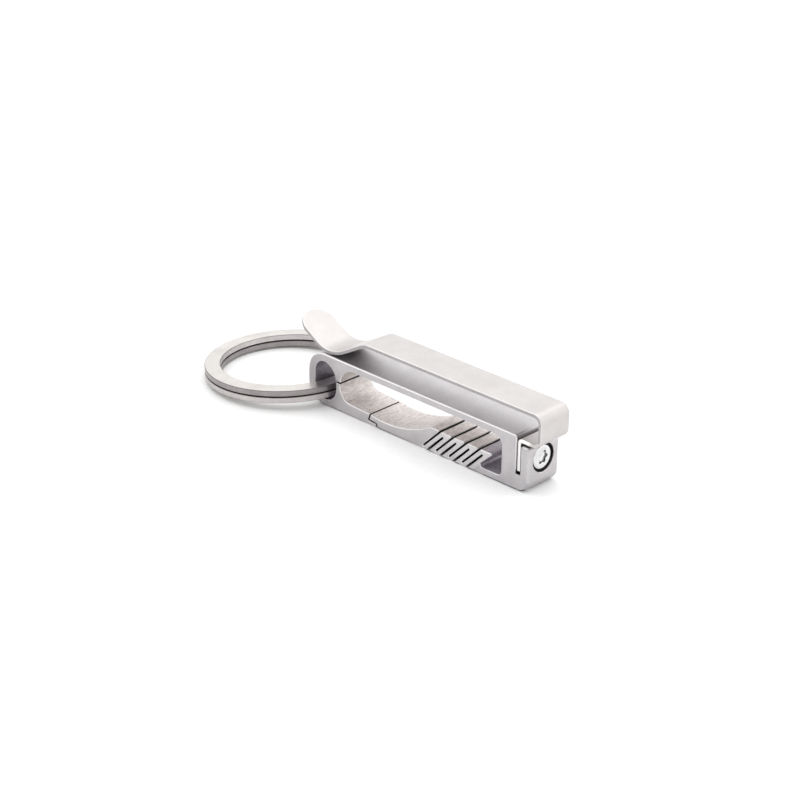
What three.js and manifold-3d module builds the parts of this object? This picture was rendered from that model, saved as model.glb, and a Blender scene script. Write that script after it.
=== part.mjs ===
// Key-ring carabiner with a belt clip, in millimetres, +Z up.
//
// One titanium block is wire-cut across its width into a frame, a hooked gate and the
// serpentine spring that joins them. A bent sheet clip stands in a slot at the right end
// and is held by one screw. A two-turn split ring hangs in the D-shaped hole at the left.
//
// Working coordinates: x = 0 at the frame's left end, y = 0 in the middle of its width,
// z = 0 on its underside. The group is shifted in x at the end, so that the origin lies
// under the middle of the whole object's box.
import * as THREE from "three";
import { mergeVertices } from "three/addons/utils/BufferGeometryUtils.js";
import Module from "manifold-3d";

// ---- driving dimensions ----
const FRAME = { length: 59.95, width: 8.8, height: 11.4, leftTopR: 4.5, leftLowR: 4.6 };
const KERF = 0.4;                  // width of every wire cut
const NODE_GAP = 0.3;              // air left where one solid is divided into two nodes
const REACH = 1;                   // how far a cutting solid runs past the face it opens

const D_HOLE = {                   // ring hole: flat left wall, bulging right wall
  left: 1.95, right: 8.03, bottom: 1.42, upperZ: 6.02,
  upperR: 3.7, lowerR: 3.1, topCornerR: 2.7, lowCornerR: 0.4,
};
const OPENING = {                  // the carabiner's main opening
  left: 9.25, right: 53.2, ceiling: 9.85, upperLeftR: 3.8, upperRightR: 2.2,
  lowerLeftR: 2.9, lipZ: 2.55, noseZ: 2.33, slitZ: 6.3,
};
const WINDOW = { floor: 1.5, floorR: 1.1 };   // space beside the last spring leaf

const HOOK = {                     // centre line of the Z-shaped cut at the gate's tip
  top: [17.9, 2.33], knee: [17.5, 1.05], heel: [19.65, 0.85], bottom: [19.9, 0],
};
const GATE = {                     // upper surface of the gate, from its tip to the spring
  points: [[20.7, 1.95], [23.6, 2.0], [26.0, 2.25], [28.4, 2.78], [30.6, 3.46], [32.4, 4.2]],
  crest: [33.9, 5.0], crown: [34.9, 5.36], shoulder: [36.85, 5.3], shoulderDrop: 0.25,
};
const SPRING = {                   // leaves slope at 45 degrees; runs are measured as x - z
  firstCut: 32.0, pitch: 1.73, cuts: 8, lastFace: 45.75, lastFoot: 45.5,
  crestZ: 5.25, upperCutFloor: 0.65, lowerCutCeiling: 4.32,
};

const SLOT = { left: 56.76, right: 58.0, floor: 3.35, mouth: 0.2 };   // holds the clip's leg
const END_BLOCK = { top: 9.5, topR: 0.9, lowR: 2.4 };
const FRAME_TOP_R = 0.5;           // corner of the frame's top at the slot

const SCREW = {
  z: 6.35, boreR: 3.0, headR: 2.55, headLow: 57.72, headHigh: 59.65, edgeR: 0.35,
  shankR: 1.4, holeR: 1.5, tip: 53.75, tipChamfer: 0.4, holeEnd: 53.6,
  socketR: 1.35, socketDepth: 0.75, lobes: 6, lobeDepth: 0.24,
};

const CLIP = {
  sheet: 0.8, width: 8.1, legLow: 3.95, legX: 56.8, legHoleR: 1.6,
  shelfTop: 10.75, bandOuter: 62.45, plateTop: 17.0, rootR: 0.95, lowBendR: 2.1,
  topBendR: 2.0, splitX: 60.05,
};
const PLATE = { kneeX: 17.0, kneeR: 5.0 };
const RAMP = { dipX: 5.3, dipTop: 12.5, dipR: 9.0, rise: 0.6 };
const TONGUE = { tipX: -4.1, dipR: 6.0, rise: 0.575 };

const RING = {
  outerR: 17.5, band: 3.35, coil: 1.27, coilGap: 0.2, wallPlay: 0.35,
  tilt: 0.057, crossover: THREE.MathUtils.degToRad(32),
  crossoverAt: THREE.MathUtils.degToRad(60), stepsPerTurn: 72,
};

const ARC_STEPS = 10;
const ROUND_STEPS = 32;

// ---- materials ----
const blasted = { color: 0xb9b5b0, roughness: 0.42, metalness: 1.0 };
const springCut = { color: 0x9c918c, roughness: 0.6, metalness: 1.0 };
const sheetMetal = { color: 0xd2cdc8, roughness: 0.38, metalness: 1.0 };
const polished = { color: 0xd8dadd, roughness: 0.16, metalness: 1.0 };
const ringMetal = { color: 0xbdb6af, roughness: 0.34, metalness: 1.0 };

// ---- solids ----
const wasm = await Module();
wasm.setup();

function toSolid(geometry) {
  const bare = geometry.clone();
  bare.deleteAttribute("normal");
  bare.deleteAttribute("uv");
  const merged = mergeVertices(bare, 1e-4);
  return new wasm.Manifold(new wasm.Mesh({
    numProp: 3,
    vertProperties: new Float32Array(merged.attributes.position.array),
    triVerts: new Uint32Array(merged.index.array),
  }));
}

function toGeometry(solid) {
  const mesh = solid.getMesh();
  const geometry = new THREE.BufferGeometry();
  geometry.setAttribute("position", new THREE.BufferAttribute(mesh.vertProperties, 3));
  geometry.setIndex(new THREE.BufferAttribute(mesh.triVerts, 1));
  const flat = geometry.toNonIndexed();
  flat.computeVertexNormals();
  return flat;
}

function cut(geometry, ...tools) {
  return toGeometry(tools.reduce((solid, tool) => solid.subtract(toSolid(tool)), toSolid(geometry)));
}

function common(first, second) {
  return toGeometry(toSolid(first).intersect(toSolid(second)));
}

function named(name, geometry, look) {
  const mesh = new THREE.Mesh(geometry, new THREE.MeshStandardMaterial(look));
  mesh.name = name;
  return mesh;
}

// A side profile (x, z) carried across the width, centred on y = 0.
function acrossWidth(profile, width) {
  const geometry = new THREE.ExtrudeGeometry(profile, {
    depth: width, bevelEnabled: false, curveSegments: ARC_STEPS,
  });
  geometry.translate(0, 0, -width / 2);
  geometry.rotateX(Math.PI / 2);
  return geometry;
}

// A cylinder along x between two stations, on the screw's axis.
function barAlongX(radius, from, to) {
  const geometry = new THREE.CylinderGeometry(radius, radius, to - from, ROUND_STEPS);
  geometry.rotateZ(Math.PI / 2);
  geometry.translate((from + to) / 2, 0, SCREW.z);
  return geometry;
}

// ---- frame ----
// The arc where the hole's corner circle meets its large upper arc.
function dHoleTop() {
  const { left, right, upperZ, upperR, topCornerR } = D_HOLE;
  const bigX = right - upperR;
  const smallX = left + topCornerR;
  const reach = upperR - topCornerR;
  const smallZ = upperZ + Math.sqrt(reach ** 2 - (smallX - bigX) ** 2);
  return { bigX, smallX, smallZ, angle: Math.atan2(smallZ - upperZ, smallX - bigX) };
}

function frameProfile() {
  const { length, height, leftTopR, leftLowR } = FRAME;
  const quarter = Math.PI / 2;
  const slitLow = OPENING.slitZ - KERF / 2;
  const slitHigh = OPENING.slitZ + KERF / 2;
  const p = new THREE.Shape();

  // Underside right of the spring, the end block, the slot and the top.
  p.moveTo(SPRING.lastFace + NODE_GAP, 0);
  p.lineTo(length - END_BLOCK.lowR, 0);
  p.absarc(length - END_BLOCK.lowR, END_BLOCK.lowR, END_BLOCK.lowR, -quarter, 0);
  p.lineTo(length, END_BLOCK.top - END_BLOCK.topR);
  p.absarc(length - END_BLOCK.topR, END_BLOCK.top - END_BLOCK.topR, END_BLOCK.topR, 0, quarter);
  p.lineTo(SLOT.right + SLOT.mouth, END_BLOCK.top);
  p.lineTo(SLOT.right, END_BLOCK.top - SLOT.mouth);
  p.lineTo(SLOT.right, SLOT.floor);
  p.lineTo(SLOT.left, SLOT.floor);
  p.lineTo(SLOT.left, height - FRAME_TOP_R);
  p.absarc(SLOT.left - FRAME_TOP_R, height - FRAME_TOP_R, FRAME_TOP_R, 0, quarter);
  p.lineTo(leftTopR, height);

  // The rounded left end, and the lower lip up to the hook's nose.
  p.absarc(leftTopR, height - leftTopR, leftTopR, quarter, Math.PI);
  p.lineTo(0, leftLowR);
  p.absarc(leftLowR, leftLowR, leftLowR, Math.PI, 1.5 * Math.PI);
  for (const [x, z] of hookSide(KERF / 2)) {
    p.lineTo(x, z);
  }

  // Lower left of the opening, up to the slit in the divider.
  const low = OPENING.lowerLeftR;
  p.lineTo(OPENING.left + low, OPENING.lipZ);
  p.absarc(OPENING.left + low, OPENING.lipZ + low, low, 1.5 * Math.PI, Math.PI, true);
  p.lineTo(OPENING.left, slitLow);

  // Round the D-shaped hole, from the slit and back to it.
  const hole = D_HOLE;
  const top = dHoleTop();
  const atLevel = (z) => Math.asin((z - hole.upperZ) / hole.upperR);
  p.absarc(top.bigX, hole.upperZ, hole.upperR, atLevel(slitLow), 0, true);
  p.absarc(hole.right - hole.lowerR, hole.bottom + hole.lowerR, hole.lowerR, 0, -quarter, true);
  p.lineTo(hole.left + hole.lowCornerR, hole.bottom);
  p.absarc(hole.left + hole.lowCornerR, hole.bottom + hole.lowCornerR, hole.lowCornerR,
    -quarter, -Math.PI, true);
  p.lineTo(hole.left, top.smallZ);
  p.absarc(top.smallX, top.smallZ, hole.topCornerR, Math.PI, top.angle, true);
  p.absarc(top.bigX, hole.upperZ, hole.upperR, top.angle, atLevel(slitHigh), true);

  // Upper left of the opening, its ceiling, right wall, and the space beside the spring.
  const { left, right, ceiling, upperLeftR, upperRightR } = OPENING;
  const fromSlit = Math.PI - Math.asin((slitHigh - ceiling + upperLeftR) / upperLeftR);
  p.absarc(left + upperLeftR, ceiling - upperLeftR, upperLeftR, fromSlit, quarter, true);
  p.lineTo(right - upperRightR, ceiling);
  p.absarc(right - upperRightR, ceiling - upperRightR, upperRightR, quarter, 0, true);
  p.lineTo(right, WINDOW.floor + WINDOW.floorR);
  p.absarc(right - WINDOW.floorR, WINDOW.floor + WINDOW.floorR, WINDOW.floorR, 0, -quarter, true);
  p.lineTo(SPRING.lastFace + NODE_GAP + WINDOW.floor, WINDOW.floor);
  return p;
}

// A polyline shifted sideways by a constant distance, to the left of its direction.
function offsetLine(points, distance) {
  return points.map((point, i) => {
    const before = points[Math.max(i - 1, 0)];
    const after = points[Math.min(i + 1, points.length - 1)];
    const from = new THREE.Vector2(point[0] - before[0], point[1] - before[1]);
    const to = new THREE.Vector2(after[0] - point[0], after[1] - point[1]);
    const inward = (from.length() ? from : to).clone().normalize();
    const outward = (to.length() ? to : from).clone().normalize();
    const mitre = inward.clone().add(outward).normalize();
    const reach = distance / mitre.dot(inward);
    return [point[0] - mitre.y * reach, point[1] + mitre.x * reach];
  });
}

// One side of the hook's cut, from the underside to the gate's upper surface.
function hookSide(distance) {
  const side = offsetLine([HOOK.bottom, HOOK.heel, HOOK.knee, HOOK.top], distance);
  const slide = ([x, z], [nextX, nextZ], level) => [x + ((nextX - x) * (level - z)) / (nextZ - z), level];
  side[0] = slide(side[0], side[1], 0);
  side[3] = slide(side[3], side[2], OPENING.noseZ);
  return side;
}

function frame() {
  const body = acrossWidth(frameProfile(), FRAME.width);
  const headBore = barAlongX(SCREW.boreR, SLOT.right - NODE_GAP, FRAME.length + REACH);
  const screwHole = barAlongX(SCREW.holeR, SCREW.holeEnd, SLOT.left + NODE_GAP);
  return named("frame", cut(body, headBore, screwHole), blasted);
}

// ---- gate and its spring ----
const alongLeaf = (run, z) => [run + z, z];

function gateProfile() {
  const p = new THREE.Shape();
  const tip = hookSide(-KERF / 2);
  const backFace = SPRING.firstCut - KERF / Math.SQRT2;
  p.moveTo(...tip[0]);
  p.lineTo(...alongLeaf(SPRING.firstCut + NODE_GAP, 0));
  p.lineTo(...alongLeaf(SPRING.firstCut + NODE_GAP, SPRING.upperCutFloor));
  p.lineTo(...alongLeaf(backFace, SPRING.upperCutFloor));
  p.lineTo(...alongLeaf(backFace, GATE.shoulder[1] - GATE.shoulderDrop));
  p.lineTo(...GATE.shoulder);
  p.lineTo(...GATE.crown);
  p.lineTo(...GATE.crest);
  p.splineThru([...GATE.points].reverse().map(([x, z]) => new THREE.Vector2(x, z)));
  p.lineTo(...tip[3]);
  p.lineTo(...tip[2]);
  p.lineTo(...tip[1]);
  return p;
}

// Leaves joined in turn at the bottom and at the top, as one zigzag strip.
function springProfile() {
  const { firstCut, pitch, cuts, lastFace, lastFoot, crestZ, upperCutFloor, lowerCutCeiling } = SPRING;
  const halfCut = KERF / Math.SQRT2;
  const springStart = firstCut + NODE_GAP * 2;
  const runs = Array.from({ length: cuts }, (_, i) => firstCut + pitch * i);
  const lower = runs.filter((_, i) => i % 2 === 1);
  const upper = runs.filter((_, i) => i % 2 === 0 && i > 0);
  const p = new THREE.Shape();

  // Along the underside, up and down each cut that opens downwards.
  p.moveTo(...alongLeaf(springStart, 0));
  for (const run of lower) {
    p.lineTo(...alongLeaf(run - halfCut, 0));
    p.lineTo(...alongLeaf(run - halfCut, lowerCutCeiling));
    p.lineTo(...alongLeaf(run + halfCut, lowerCutCeiling));
    p.lineTo(...alongLeaf(run + halfCut, 0));
  }
  p.lineTo(...alongLeaf(lastFoot, 0));
  p.lineTo(...alongLeaf(lastFoot, WINDOW.floor));
  p.lineTo(...alongLeaf(lastFace, crestZ));

  // Back along the crests, down and up each cut that opens upwards.
  for (const run of upper.reverse()) {
    p.lineTo(...alongLeaf(run + halfCut, crestZ));
    p.lineTo(...alongLeaf(run + halfCut, upperCutFloor));
    p.lineTo(...alongLeaf(run - halfCut, upperCutFloor));
    p.lineTo(...alongLeaf(run - halfCut, crestZ));
  }
  p.lineTo(...alongLeaf(firstCut + halfCut, crestZ));
  p.lineTo(...alongLeaf(firstCut + halfCut, upperCutFloor));
  p.lineTo(...alongLeaf(springStart, upperCutFloor));
  return p;
}

function gate() {
  return named("gate", acrossWidth(gateProfile(), FRAME.width), blasted);
}

function gateSpring() {
  return named("gate_spring", acrossWidth(springProfile(), FRAME.width), springCut);
}

// ---- clip ----
// Root: the leg in the slot, the bend over the end block and the start of the shelf.
function clipRoot() {
  const { sheet, width, legLow, legX, legHoleR, shelfTop, rootR, splitX } = CLIP;
  const p = new THREE.Shape();
  p.moveTo(legX, legLow);
  p.lineTo(legX + sheet, legLow);
  p.lineTo(legX + sheet, shelfTop - rootR);
  p.absarc(legX + rootR, shelfTop - rootR, rootR - sheet, Math.PI, Math.PI / 2, true);
  p.lineTo(splitX, shelfTop - sheet);
  p.lineTo(splitX, shelfTop);
  p.lineTo(legX + rootR, shelfTop);
  p.absarc(legX + rootR, shelfTop - rootR, rootR, Math.PI / 2, Math.PI);
  const hole = barAlongX(legHoleR, legX - REACH, legX + sheet + REACH);
  return named("clip_root", cut(acrossWidth(p, width), hole), sheetMetal);
}

// Upper surface of the plate, ramp and tongue as points from right to left.
function armTop() {
  const { dipX, dipTop, rise } = RAMP;
  const points = [];
  const rampAngle = Math.atan(rise);
  const tongueAngle = Math.atan(TONGUE.rise);
  const plateZ = CLIP.plateTop;

  // Rounded knee between the plate and the ramp.
  const knee = PLATE.kneeR;
  for (let i = 0; i <= ARC_STEPS; i += 1) {
    const a = (rampAngle * i) / ARC_STEPS;
    points.push([PLATE.kneeX - knee * Math.sin(a), plateZ - knee * (1 - Math.cos(a))]);
  }
  // Rounded dip, from the ramp's slope down to its lowest point and up to the tongue's.
  for (let i = 0; i < ARC_STEPS; i += 1) {
    const a = rampAngle * (1 - i / ARC_STEPS);
    points.push([dipX + RAMP.dipR * Math.sin(a), dipTop + RAMP.dipR * (1 - Math.cos(a))]);
  }
  for (let i = 0; i <= ARC_STEPS; i += 1) {
    const a = (tongueAngle * i) / ARC_STEPS;
    points.push([dipX - TONGUE.dipR * Math.sin(a), dipTop + TONGUE.dipR * (1 - Math.cos(a))]);
  }
  const [lastX, lastZ] = points[points.length - 1];
  points.push([TONGUE.tipX, lastZ + (lastX - TONGUE.tipX) * TONGUE.rise]);
  return points;
}

// Arm: the rest of the shelf, the band that turns up past the end, the plate and the tongue.
function clipArmProfile() {
  const { sheet, shelfTop, bandOuter, plateTop, lowBendR, topBendR, splitX } = CLIP;
  const start = splitX + NODE_GAP;
  const top = armTop();
  const bottom = offsetLine(top, sheet);
  const quarter = Math.PI / 2;
  const lowX = bandOuter - lowBendR;
  const lowZ = shelfTop - sheet + lowBendR;
  const topX = bandOuter - topBendR;
  const topZ = plateTop - topBendR;
  const p = new THREE.Shape();
  p.moveTo(start, shelfTop - sheet);
  p.lineTo(lowX, shelfTop - sheet);
  p.absarc(lowX, lowZ, lowBendR, -quarter, 0);
  p.lineTo(bandOuter, topZ);
  p.absarc(topX, topZ, topBendR, 0, quarter);
  for (const [x, z] of top) {
    p.lineTo(x, z);
  }
  for (const [x, z] of bottom.reverse()) {
    p.lineTo(x, z);
  }
  p.lineTo(topX, plateTop - sheet);
  p.absarc(topX, topZ, topBendR - sheet, quarter, 0, true);
  p.lineTo(bandOuter - sheet, lowZ);
  p.absarc(lowX, lowZ, lowBendR - sheet, 0, -quarter, true);
  p.lineTo(start, shelfTop);
  return p;
}

function clipArm() {
  const half = CLIP.width / 2;
  const plan = new THREE.Shape();
  plan.moveTo(CLIP.bandOuter + REACH, -half);
  plan.lineTo(CLIP.bandOuter + REACH, half);
  plan.lineTo(TONGUE.tipX + half, half);
  plan.absarc(TONGUE.tipX + half, 0, half, Math.PI / 2, 1.5 * Math.PI);
  const blank = new THREE.ExtrudeGeometry(plan, {
    depth: 2 * CLIP.plateTop, bevelEnabled: false, curveSegments: 2 * ARC_STEPS,
  });
  const sheet = acrossWidth(clipArmProfile(), CLIP.width + REACH);
  return named("clip_arm", common(sheet, blank), sheetMetal);
}

// ---- screw ----
// Six-lobed socket outline.
function socketShape() {
  const { socketR, lobes, lobeDepth } = SCREW;
  const steps = lobes * 6;
  const points = Array.from({ length: steps }, (_, i) => {
    const a = (2 * Math.PI * i) / steps;
    const r = socketR * (1 - (lobeDepth / 2) * (1 - Math.cos(lobes * a)));
    return new THREE.Vector2(r * Math.cos(a), r * Math.sin(a));
  });
  return new THREE.Shape(points);
}

function clipScrew() {
  const { headR, headLow, headHigh, edgeR, shankR, tip, tipChamfer, socketDepth, z } = SCREW;
  const softened = edgeR * (1 - Math.SQRT1_2);
  const outline = [
    [0, tip], [shankR - tipChamfer, tip], [shankR, tip + tipChamfer], [shankR, headLow],
    [headR, headLow], [headR, headHigh - edgeR],
    [headR - softened, headHigh - softened], [headR - edgeR, headHigh], [0, headHigh],
  ].map(([r, x]) => new THREE.Vector2(r, x));
  const turned = new THREE.LatheGeometry(outline, ROUND_STEPS);
  turned.rotateZ(-Math.PI / 2);
  turned.translate(0, 0, z);
  const socket = new THREE.ExtrudeGeometry(socketShape(), {
    depth: socketDepth + REACH, bevelEnabled: false,
  });
  socket.rotateY(Math.PI / 2);
  socket.translate(headHigh - socketDepth, 0, z);
  return named("clip_screw", cut(turned, socket), polished);
}

// ---- split ring ----
// Centre line of the flat wire: one low turn, a rise at the crossover, and one high turn.
class RingPath extends THREE.Curve {
  constructor() {
    super();
    this.radius = RING.outerR - RING.band / 2;
    this.level = (RING.coil + RING.coilGap) / 2;
    this.sweep = 4 * Math.PI - RING.crossover * 1.1;
  }

  getPoint(t, target = new THREE.Vector3()) {
    const angle = this.sweep * t;
    const rise = (angle - (2 * Math.PI - RING.crossover)) / RING.crossover;
    const z = this.level * (2 * THREE.MathUtils.smoothstep(rise, 0, 1) - 1);
    const at = angle + RING.crossoverAt;
    return target.set(this.radius * Math.cos(at), this.radius * Math.sin(at), z);
  }
}

function splitRing() {
  const { coil, coilGap, band, outerR, wallPlay, tilt, stepsPerTurn } = RING;
  const section = new THREE.Shape();
  section.moveTo(-coil / 2, -band / 2);
  section.lineTo(coil / 2, -band / 2);
  section.lineTo(coil / 2, band / 2);
  section.lineTo(-coil / 2, band / 2);
  const geometry = new THREE.ExtrudeGeometry(section, {
    steps: 2 * stepsPerTurn, bevelEnabled: false, extrudePath: new RingPath(),
  });
  const mesh = named("split_ring", geometry, ringMetal);
  const innerR = outerR - band;
  const reach = Math.sqrt(innerR ** 2 - (FRAME.width / 2) ** 2);
  mesh.position.set(
    D_HOLE.left + wallPlay - reach * Math.cos(tilt), 0,
    (coil + coilGap / 2) * Math.cos(tilt) + outerR * Math.sin(tilt),
  );
  mesh.rotation.y = -tilt;
  return mesh;
}

const carabiner = new THREE.Group();
const ring = splitRing();
carabiner.add(frame(), gate(), gateSpring(), clipRoot(), clipArm(), clipScrew(), ring);
const ringLeft = ring.position.x - RING.outerR * Math.cos(RING.tilt) - RING.coil * Math.sin(RING.tilt);
carabiner.position.x = -(ringLeft + CLIP.bandOuter) / 2;

export default carabiner;
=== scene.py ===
import math

import bmesh
import bpy
import numpy as np
from mathutils import Matrix, Quaternion, Vector


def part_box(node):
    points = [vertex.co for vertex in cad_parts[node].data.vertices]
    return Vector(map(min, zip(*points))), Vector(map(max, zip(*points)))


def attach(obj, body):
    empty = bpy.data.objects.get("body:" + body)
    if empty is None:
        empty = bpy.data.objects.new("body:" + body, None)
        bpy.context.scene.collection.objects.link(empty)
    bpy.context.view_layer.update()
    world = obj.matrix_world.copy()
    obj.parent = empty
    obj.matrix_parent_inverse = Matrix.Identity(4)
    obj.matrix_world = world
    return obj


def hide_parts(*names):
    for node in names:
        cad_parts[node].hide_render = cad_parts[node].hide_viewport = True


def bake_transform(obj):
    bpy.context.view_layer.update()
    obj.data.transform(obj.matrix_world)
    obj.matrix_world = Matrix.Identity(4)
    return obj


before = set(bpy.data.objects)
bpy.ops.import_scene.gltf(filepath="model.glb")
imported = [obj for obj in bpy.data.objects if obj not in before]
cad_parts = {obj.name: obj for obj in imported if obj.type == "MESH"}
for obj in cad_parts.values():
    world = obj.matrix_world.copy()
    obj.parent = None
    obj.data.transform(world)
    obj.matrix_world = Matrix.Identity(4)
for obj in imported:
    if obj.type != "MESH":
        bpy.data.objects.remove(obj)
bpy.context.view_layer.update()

# Key-ring carabiner with a belt clip. Shapes are drawn in millimetres in the block's own
# coordinates: x from its left end, y from the middle of its width, z from the floor.
BLOCK_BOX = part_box("frame")
MM = 0.001
LEFT = BLOCK_BOX[0].x
LENGTH = (BLOCK_BOX[1].x - LEFT) / MM
HALF_WIDTH = BLOCK_BOX[1].y / MM
HEIGHT = BLOCK_BOX[1].z / MM

# ---- driving dimensions ----
KERF = 0.4                        # width of every wire cut
OUTER_BREAK = 0.34                # rounding of the block's outer edges
END_BREAK = 0.6                   # rounding along both sides of the end face
OPENING_BREAK = 0.18              # rounding along the hole, the opening and the gate
SLIT_BREAK = 0.08                 # rounding along the slits
LEAF_BREAK = 0.12                 # rounding along the slits between the spring's leaves

BLOCK = dict(left_top_r=4.5, left_low_r=4.6, top_corner_r=0.5)
RING_HOLE = dict(left=1.95, right=8.03, bottom=1.42, upper_z=6.02, upper_r=3.7, lower_r=3.1,
                 top_corner_r=2.7, low_corner_r=0.4)
OPENING = dict(left=9.25, right=53.2, ceiling=9.85, upper_left_r=3.8, upper_right_r=2.2,
               lower_left_r=2.9, lip_z=2.55, nose_z=2.33, slit_z=6.3)
WINDOW = dict(floor=1.5, right_r=1.1, left_r=0.55)
LEAF_TOP_R = 0.24                 # rounding of the leaves' crests
SEAM_X = 48.5                     # plane where the block's mesh meets the spring's mesh

HOOK = [(19.9, 0.0), (19.65, 0.85), (17.5, 1.05), (17.9, 2.33)]
GATE_VALLEY = [(20.7, 1.95), (23.6, 2.0), (26.0, 2.25), (28.4, 2.78), (30.6, 3.46), (32.4, 4.2)]
GATE_CREST = [(33.9, 5.0), (34.9, 5.36), (36.85, 5.3)]
SPRING = dict(first_cut=32.0, pitch=1.73, cuts=8, last_face=45.75, last_foot=45.5,
              crest_z=5.25, upper_cut_floor=0.65, lower_cut_ceiling=4.32,
              crest_break=0.112, shoulder_drop=0.25)

SLOT = dict(left=56.76, right=58.0, floor=3.35, mouth_r=0.25, floor_r=0.2)
END_BLOCK = dict(top=9.5, top_r=0.9, low_r=2.4)
BORE = dict(z=6.35, radius=3.0, flare=0.12, segments=64, hole_r=1.5, hole_end=53.6)

CLIP = dict(sheet=0.8, half=4.05, leg_low=3.95, leg_x=56.8, hole_r=1.6, shelf_top=10.75,
            band_outer=62.45, plate_top=17.0, root_r=0.95, low_bend_r=2.1, top_bend_r=2.0,
            knee_x=17.0, knee_r=5.0, dip_x=5.3, dip_top=12.5, ramp_r=9.0, tongue_r=6.0,
            ramp_rise=0.6, tongue_rise=0.61, tip_x=-4.1, edge=0.17)

SCREW = dict(tip=53.75, head_low=57.72, head_high=59.65, head_r=2.55, edge_r=0.36,
             shank_r=1.4, socket_r=1.45, socket_depth=0.4, lobe=0.13)

RING = dict(outer_r=17.5, band=3.35, coil=1.27, gap=0.2, edge=0.17, tilt=0.057,
            crossover=math.radians(32), start=math.radians(60), spread=0.5, spread_over=0.8,
            cut_short=1.1, bare_before=1.15)

SKY = dict(towards=(-0.45, 0.5, 0.74), dim=0.76, bright=1.35)
CAMERA = dict(azimuth=44.154, elevation=25.439, roll=0.591, target=(20.608, 1.430, 4.527),
              distance=416.604, lens=93.076)

ARC_STEP = math.radians(5)
BREAK_STEPS = 4
SHARP = math.radians(35)          # edges turning more than this stay sharp
NEARLY_STRAIGHT = 0.2             # sine of the turn below which an outline's point is no corner
OVERCUT = 0.4                     # how far a cutter runs past the face that it opens
UNDER_EDGE_SHADE = -1.6                 # painted shade along the edges round the underside, for the contact shadow seen in them
QUARTER = math.pi / 2

# Material indices of the meshes cut from the block. The bore's, the slits' and the shaded ones are
# darkened as painted shade.
BLASTED, WIRE_CUT, BORE_SHADE, SLIT, SHADED, LEAF = range(6)

# Material indices of the split ring. Its side walls come in a painted shade and a painted light copy,
# and the faces between the turns are painted shade.
FACE, WALL_SHADE, GAP, WALL_LIT = range(4)


# ---- materials ----
class Shading:
    """A node material being built: short names for the few kinds of node that it needs."""

    def __init__(self, name):
        self.material = bpy.data.materials.new(name)
        self.material.use_nodes = True
        self.tree = self.material.node_tree
        self.shader = self.tree.nodes["Principled BSDF"]
        self.place = self.tree.nodes.new("ShaderNodeTexCoord").outputs["Object"]

    def node(self, kind, **settings):
        made = self.tree.nodes.new(kind)
        for key, value in settings.items():
            setattr(made, key, value)
        return made

    def link(self, source, target):
        self.tree.links.new(source, target)

    def stretched(self, scale):
        mapping = self.node("ShaderNodeMapping")
        mapping.inputs["Scale"].default_value = scale
        self.link(self.place, mapping.inputs["Vector"])
        return mapping.outputs["Vector"]

    def noise(self, scale, detail=3.0, roughness=0.55):
        """Noise with features about 1/scale metres across; scale may differ by axis."""
        noise = self.node("ShaderNodeTexNoise")
        noise.inputs["Detail"].default_value = detail
        noise.inputs["Roughness"].default_value = roughness
        noise.inputs["Scale"].default_value = 1.0
        self.link(self.stretched(scale), noise.inputs["Vector"])
        return noise.outputs["Fac"]

    def ramp(self, value, stops):
        ramp = self.node("ShaderNodeValToRGB")
        elements = ramp.color_ramp.elements
        while len(elements) < len(stops):
            elements.new(0.5)
        for element, (position, colour) in zip(elements, stops):
            element.position = position
            element.color = (*colour, 1.0)
        self.link(value, ramp.inputs["Fac"])
        return ramp.outputs["Color"]

    def spread(self, value, low, high):
        """value, which lies about the middle of 0 to 1, carried to low..high."""
        remap = self.node("ShaderNodeMapRange")
        for socket, number in zip(("From Min", "From Max", "To Min", "To Max"),
                                  (0.3, 0.7, low, high)):
            remap.inputs[socket].default_value = number
        self.link(value, remap.inputs["Value"])
        return remap.outputs["Result"]

    def mixed(self, factor, first, second):
        mix = self.node("ShaderNodeMix", data_type="RGBA")
        self.link(factor, mix.inputs["Factor"])
        for socket, colour in (("A", first), ("B", second)):
            if isinstance(colour, tuple):
                mix.inputs[socket].default_value = (*colour, 1.0)
            else:
                self.link(colour, mix.inputs[socket])
        return mix.outputs["Result"]

    def maths(self, operation, first, second):
        node = self.node("ShaderNodeMath", operation=operation)
        for socket, value in zip(node.inputs, (first, second)):
            if isinstance(value, float):
                socket.default_value = value
            else:
                self.link(value, socket)
        return node.outputs["Value"]

    def bump(self, height, strength, distance):
        bump = self.node("ShaderNodeBump")
        bump.inputs["Strength"].default_value = strength
        bump.inputs["Distance"].default_value = distance
        self.link(height, bump.inputs["Height"])
        self.link(bump.outputs["Normal"], self.shader.inputs["Normal"])


def metal(name, dark, light, roughness, grain, bump, edges=None, cloud=(260, 260, 260)):
    """Bare metal: cloudy tone, fine grain, and a painted highlight or a painted shade along
    the edges, by the sign of edge_break. edges is the highlight and the shade colour."""
    look = Shading(name)
    look.shader.inputs["Metallic"].default_value = 1.0
    clouds = look.noise(cloud, detail=4.0)
    fine = look.noise(grain, detail=2.0, roughness=0.7)
    tone = look.maths("ADD", look.maths("MULTIPLY", clouds, 0.45),
                      look.maths("MULTIPLY", fine, 0.55))
    colour = look.ramp(tone, [(0.38, dark), (0.62, light)])
    rough = look.spread(tone, *roughness)
    if edges:
        edge = look.node("ShaderNodeAttribute", attribute_name="edge_break").outputs["Fac"]
        # A positive edge_break paints a highlight along the edge, a negative one paints shade.
        bright = look.maths("MAXIMUM", edge, 0.0)
        painted_shade = look.maths("MAXIMUM", look.maths("MULTIPLY", edge, -1.0), 0.0)
        colour = look.mixed(painted_shade, look.mixed(bright, colour, edges[0]), edges[1])
        rough = look.maths("SUBTRACT", rough, look.maths("MULTIPLY", bright, 0.08))
    look.link(colour, look.shader.inputs["Base Color"])
    look.link(rough, look.shader.inputs["Roughness"])
    look.bump(fine, *bump)
    return look.material


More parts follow.
